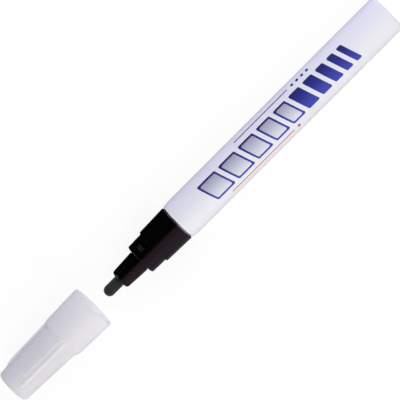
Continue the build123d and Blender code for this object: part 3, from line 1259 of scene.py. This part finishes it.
    def rib_painted_shade(self, height: np.ndarray) -> np.ndarray:
        """Painted light and shade of the columns round one rib: painted shade on its middle, painted
        highlights on its edges and foot, plain elsewhere.

        Args:
            height: Height of the rib over the body in each row, as a column.

        Returns:
            Painted light and shade, rows by columns, which fade out where the rib does.
        """
        half = np.interp(self.STEPS, list(self.PAINTED_SHADES), list(self.PAINTED_SHADES.values()))
        across = np.concatenate([half[-2:0:-1], half])
        return self.PLAIN_TONE + (across - self.PLAIN_TONE) * np.clip(height / self.painted_shade_fade, 0.0, 1.0)

    def rows(self, outline: np.ndarray) -> tuple[np.ndarray, np.ndarray, np.ndarray, int]:
        """Rows of the shell: the outline's own, and more of them along the ribs.

        Args:
            outline: The shell's outline.

        Returns:
            Each row's place on X, its radius and the ribs' top there, as columns, and how many rows lie
            outside. The rows inside have no ribs.
        """
        rim = int(np.argmax(outline[:, 0]))
        outer = outline[:rim]
        inner = outline[rim:-1]
        marks = self.span.rear - self.rib_places()
        ribs = np.linspace(marks[-1], marks[0], self.rib_rows)[1:-1]
        along = np.unique(np.concatenate([outer[1:, 0], marks, marks + self.rib_row_gap, ribs]))
        radius = np.interp(along, outer[:, 0], outer[:, 1])
        top = self.rib_top(self.span.rear - along)
        pairs = ((along, inner[:, 0]), (radius, inner[:, 1]), (top, np.zeros(len(inner))))
        columns = [np.concatenate(pair)[:, None] for pair in pairs]
        return *columns, len(along)

    def shell(self) -> tuple[Skin, np.ndarray]:
        """Cap's surface: at each row the larger of the turned outline and the ribs.

        Where the two are closer than the blend, the larger one is raised by
        blend / 4 * (1 - difference / blend) squared, which leaves a soft foot along each rib.

        Returns:
            The surface, and the painted light and shade of each of its points.
        """
        outline = self.outline()
        along, base, top, outside = self.rows(outline)
        angle = self.rib_angles(base, top)
        rib = self.rib_radius(top, angle)
        near = np.maximum(1 - np.abs(rib - base) / self.foot_blend, 0.0)
        ribbed = np.maximum(base, rib) + self.foot_blend / 4 * near**2
        turns = self.rib_phase + np.arange(self.rib_count) * 2 * np.pi / self.rib_count
        thirds = [around(along, ribbed, angle + turn, self.span.height) for turn in turns]
        # Painted shade on the ribs' middles, painted highlights on their edges and feet, and painted light
        # all over the inside.
        tone = np.tile(self.rib_painted_shade(top - base), (1, self.rib_count))
        tone[outside:] = self.INSIDE_PAINTED_LIGHT
        surface = skin(np.concatenate(thirds, axis=1), axis_ends(outline, self.span.height))
        return surface, np.concatenate([tone.ravel(), [self.PLAIN_TONE, self.INSIDE_PAINTED_LIGHT]])

    def cup_corners(self) -> list[Corner]:
        """Outline of the soft cup, from its closed end along the outside to its mouth and back inside.

        Returns:
            The outline's corners.
        """
        span = self.cup_span
        bore_end = span.front + self.cup_end_wall
        return [
            Corner(span.front, 0.0),
            Corner(span.front, span.radius, self.cup_ease),
            Corner(span.rear, span.radius),
            Corner(span.rear, self.cup_bore_radius + self.cup_lead_in),
            Corner(span.rear - self.cup_lead_in, self.cup_bore_radius),
            Corner(bore_end, self.cup_bore_radius, self.cup_ease),
            Corner(bore_end, 0.0),
        ]

    def build(self) -> None:
        """Builds and dresses the shell, with its painted light and shade in an attribute that the finish
        reads, and the cup.
        """
        surface, tone = self.shell()
        made = piece("cap_body", surface, Finishes.MILKY.make(), Body.CAP, Slot.CAP_PLASTIC, "cap_shell")
        # Stores the painted light and shade for the milky finish to read.
        made.data.attributes.new(self.SHADE_ATTRIBUTE_NAME, "FLOAT", "POINT").data.foreach_set("value", tone)
        surface = turned(self.cup_corners(), self.cup_span.height, closed=False)
        piece("cap_cup", surface, Finishes.LINER.make(), Body.CAP, Slot.INNER_CAP_PLASTIC, "inner_cap")


@dataclass
class Spring:
    """Steel coil of the valve; on the real marker it shortens as the nib goes in, here it keeps its length.
    """

    JOINT = "nib_pump"

    wire: float = 0.4 * MM
    turns: int = 5
    rows_per_turn: int = 40
    wire_columns: int = 14
    end_bevel: float = 0.06 * MM
    travel: float = 2.0 * MM
    span: Span = field(default_factory=partial(Span.of, "valve_spring"))

    def coil(self) -> Skin:
        """Round wire on a helix.

        The wire's middle goes evenly along X while it turns about the axis. Rings stand square to it, spanned
        by the outward arm and the cross product of the wire's direction with that arm. The end rings are
        drawn in by the bevel.

        Returns:
            The closed surface.
        """
        half = self.wire / 2
        arm = self.span.radius - half
        reach = self.span.length - self.wire
        bevel = self.end_bevel / (2 * np.pi * arm * self.turns)
        even = np.linspace(0, 1, self.turns * self.rows_per_turn + 1)[1:-1]
        share = np.concatenate([[0.0, bevel], even, [1 - bevel, 1.0]])[:, None]
        angle = 2 * np.pi * self.turns * share
        middle = around(self.span.front + half + reach * share, arm, angle, self.span.height)
        outward = around(0.0, 1.0, angle, 0.0)
        way = around(reach / (2 * np.pi * self.turns), arm, angle + np.pi / 2, 0.0)
        beside = np.cross(way / np.linalg.norm(way, axis=-1, keepdims=True), outward)
        thick = np.full((len(share), 1, 1), half)
        thick[[0, -1]] -= self.end_bevel
        turn = even_turn(self.wire_columns)[:, None]
        grid = middle + thick * (np.cos(turn) * outward + np.sin(turn) * beside)
        return skin(grid, middle[[0, -1], 0])

    def build(self) -> None:
        """Builds and dresses the coil, and gives it its own copy of its mesh."""
        steel = Finishes.SPRING.make()
        made = piece("spring_coil", self.coil(), steel, Body.MARKER, Slot.SPRING_STEEL, "valve_spring")
        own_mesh(made)


class Works:
    """Hidden pieces of the valve and the paint chamber, which keep their own meshes."""

    FINISHES = {
        "barrel_gasket": Finishes.RUBBER,
        "nib_socket": Finishes.NATURAL,
        "valve_body": Finishes.NATURAL,
        "valve_stem": Finishes.NATURAL,
        "stem_seal": Finishes.RUBBER,
        "spring_cage": Finishes.NATURAL,
        "mixing_ball": Finishes.BALL,
    }

    def dress(self) -> None:
        """Gives each hidden piece its finish, one material for each finish."""
        made = {finish: finish.make() for finish in dict.fromkeys(self.FINISHES.values())}
        for node, finish in self.FINISHES.items():
            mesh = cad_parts[node].data
            mesh.materials.clear()
            mesh.materials.append(made[finish])
            log.info("dressed %s in %s", node, finish.name)


@dataclass(frozen=True)
class Lamp:
    """Round studio lamp: its place, the light it gives at the marker's middle, its colour and its width."""

    name: str
    place: tuple[float, float, float]
    light: float
    colour: Colour
    size: float


@dataclass
class Studio:
    """Pale table, backdrop, soft light from one bright side, and the camera above the marker."""

    floor_radius: float = 2.5
    inner_rings: tuple[float, float] = (0.02, 0.3)
    floor_columns: int = 96
    wall_height: float = 1.6
    wall_glow: float = 1.0
    floor_colour: Colour = (0.9, 0.9, 0.9)
    floor_roughness: float = 0.95
    seen_colour: Colour = (0.12, 0.12, 0.12)
    seen_glow: float = 0.885
    bright_side: Colour = (0.44, 0.43, 0.44)
    dark_side: Colour = (0.006, 0.006, 0.009)
    side_edge: tuple[float, float] = (-0.19, -0.11)
    side_reach: tuple[float, float] = (-0.9, -0.2)
    near_light: float = 0.62
    panel_way: tuple[float, float, float] = (-0.62, 0.7, 0.35)
    panel_edge: tuple[float, float] = (0.9, 0.97)
    panel_glow: float = 1.935
    low_light: float = 0.62
    horizon: tuple[float, float] = (-0.3, 0.12)
    overhead: Lamp = Lamp("overhead", (0.45, 0.0, 0.62), 1.86, (1.0, 0.985, 0.88), 1.1)
    key: Lamp = Lamp("key", (-0.5, -0.65, 0.42), 2.96, WHITE, 1.3)
    fill: Lamp = Lamp("fill", (0.36, 0.4, 0.28), 2.86, (0.72, 0.715, 1.0), 0.8)
    view_centre: tuple[float, float, float] = (0.4 * MM, 0.0, 7.5 * MM)
    camera_height: float = 1.3
    camera_back: float = 100.0 * MM
    pixel: float = 0.3478 * MM
    image_width: int = 400
    sensor: float = 36.0

    def floor(self) -> None:
        """Round table top and an open wall round it, as two flat-shaded rings of a grid."""
        turn = even_turn(self.floor_columns)
        ring = np.stack([np.cos(turn), np.sin(turn), np.zeros_like(turn)], axis=1)
        top = np.stack([ring * radius for radius in (*self.inner_rings, self.floor_radius)])
        wall = np.stack([top[-1], top[-1] + [0, 0, self.wall_height]])
        table_paper = self.paper("table_paper", self.seen_colour, self.seen_glow)
        table = self.stage_mesh("table_top", top, table_paper, filled=True)
        table.visible_glossy = False
        wall_paper = self.paper("backdrop_paper", BLACK, self.wall_glow)
        backdrop = self.stage_mesh("backdrop", wall, wall_paper, filled=False)
        for way in ("diffuse", "glossy", "transmission", "shadow"):
            setattr(backdrop, f"visible_{way}", False)

    def stage_mesh(self, name: str, rings: np.ndarray, material: Material, filled: bool) -> Object:
        """Mesh of the stage over rings of points.

        Args:
            name: The object's name.
            rings: Points, rings by columns by three.
            material: Its finish.
            filled: Whether a face closes the first ring.

        Returns:
            The object.
        """
        rows, columns = rings.shape[:2]
        index = np.arange(rows * columns).reshape(rows, columns)
        beside = np.roll(index, -1, axis=1)
        quads = np.stack([index[:-1], index[1:], beside[1:], beside[:-1]], axis=-1)
        faces = [quads.reshape(-1, 4)]
        if filled:
            faces.append(index[:1])
        made = mesh_object(name, (rings.reshape(-1, 3), faces), material, smooth=False)
        return made

    def paper(self, name: str, seen: Colour, glow: float) -> Material:
        """Matt white paper, which straight views see partly as a white glow, so its shadows stay faint.

        Args:
            name: The material's name.
            seen: Colour of the lit share in straight views.
            glow: Strength of the glow in straight views.

        Returns:
            The new material.
        """
        material = bpy.data.materials.new(name)
        material.use_nodes = True
        graph = Graph(material.node_tree)
        path = graph.add("ShaderNodeLightPath")
        ways = [path.outputs[f"Is {way} Ray"] for way in ("Camera", "Glossy", "Transmission")]
        straight = graph.joined(Sum.LARGER, graph.joined(Sum.LARGER, *ways[:2]), ways[2])
        graph.feed(
            material.node_tree.nodes["Principled BSDF"],
            Base_Color=graph.ramp(straight, self.floor_colour, seen),
            Roughness=self.floor_roughness,
            Specular_IOR_Level=0.0,
            Emission_Color=(*WHITE, 1.0),
            Emission_Strength=graph.between(straight, 0.0, glow),
        )
        return material

    def world(self) -> None:
        """Room that is bright on the -Y side, dim on the other, and has a small panel beyond the nib.

        The sides meet at a soft edge in the direction's Y, and the panel follows the cosine of the angle to
        its middle. All of it grows evenly from near that edge to far out on -Y, and falls off below the
        horizon with the direction's Z.
        """
        world = bpy.data.worlds.new("studio")
        world.use_nodes = True
        bpy.context.scene.world = world
        graph = Graph(world.node_tree)
        way = graph.add("ShaderNodeTexCoord").outputs["Generated"]
        across = graph.axis(way, Axis.Y)
        side = graph.between(across, 0.0, 1.0, self.side_edge, Way.SOFT)
        colour = graph.ramp(side, self.bright_side, self.dark_side)
        panel_way = Vector(self.panel_way).normalized()
        facing = graph.joined(Sum.COSINE, way, panel_way)
        panel = graph.between(facing, 0.0, self.panel_glow, self.panel_edge, Way.SOFT)
        both = graph.joined(Sum.ADD_COLOURS, colour, panel)
        rise = graph.between(graph.axis(way, Axis.Z), self.low_light, 1.0, self.horizon, Way.SOFT)
        reach = graph.between(across, 1.0, self.near_light, self.side_reach)
        strength = graph.joined(Sum.MULTIPLY, rise, reach)
        graph.feed(world.node_tree.nodes["Background"], Color=both, Strength=strength)

    def lamp(self, lamp: Lamp) -> None:
        """Sets up a round lamp that faces the marker's middle and leaves no mirror image in the gloss.

        Its power is light * pi * distance squared, which puts that light on a surface there that faces it.

        Args:
            lamp: The lamp.
        """
        place = Vector(lamp.place)
        light = bpy.data.lights.new(lamp.name, "AREA")
        light.shape = "DISK"
        light.size = lamp.size
        light.color = lamp.colour
        light.energy = lamp.light * math.pi * place.length_squared
        made = bpy.data.objects.new(lamp.name, light)
        made.location = place
        made.rotation_mode = "QUATERNION"
        made.rotation_quaternion = (-place).to_track_quat("-Z", "Y")
        made.visible_glossy = False
        bpy.context.scene.collection.objects.link(made)

    def camera(self) -> None:
        """Long lens above the rear half, with the marker on the picture's rising diagonal."""
        centre = Vector(self.view_centre)
        place = Vector((self.camera_back, 0.0, self.camera_height))
        back = (place - centre).normalized()
        across = Vector((0.0, 1.0, 0.0))
        along = across.cross(back)
        right = (along - across).normalized()
        up = (along + across).normalized()
        data = bpy.data.cameras.new("camera")
        data.sensor_width = self.sensor
        data.lens = self.sensor * (place - centre).length / (self.pixel * self.image_width)
        made = bpy.data.objects.new("camera", data)
        made.matrix_world = Matrix.Translation(place) @ Matrix((right, up, back)).transposed().to_4x4()
        bpy.context.scene.collection.objects.link(made)
        bpy.context.scene.camera = made

    def build(self) -> None:
        """Sets up the table, the light and the camera."""
        bpy.context.scene.view_settings.view_transform = "Standard"
        self.floor()
        self.world()
        for lamp in (self.overhead, self.key, self.fill):
            self.lamp(lamp)
        self.camera()


def main() -> None:
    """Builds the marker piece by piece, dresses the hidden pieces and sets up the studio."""
    logging.basicConfig(level=logging.INFO, format="%(message)s")
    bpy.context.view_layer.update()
    Barrel().build()
    Print().build()
    FrontEnd().build()
    Nib().build()
    Cap().build()
    Spring().build()
    Works().dress()
    Studio().build()


if __name__ == "__main__":
    main()
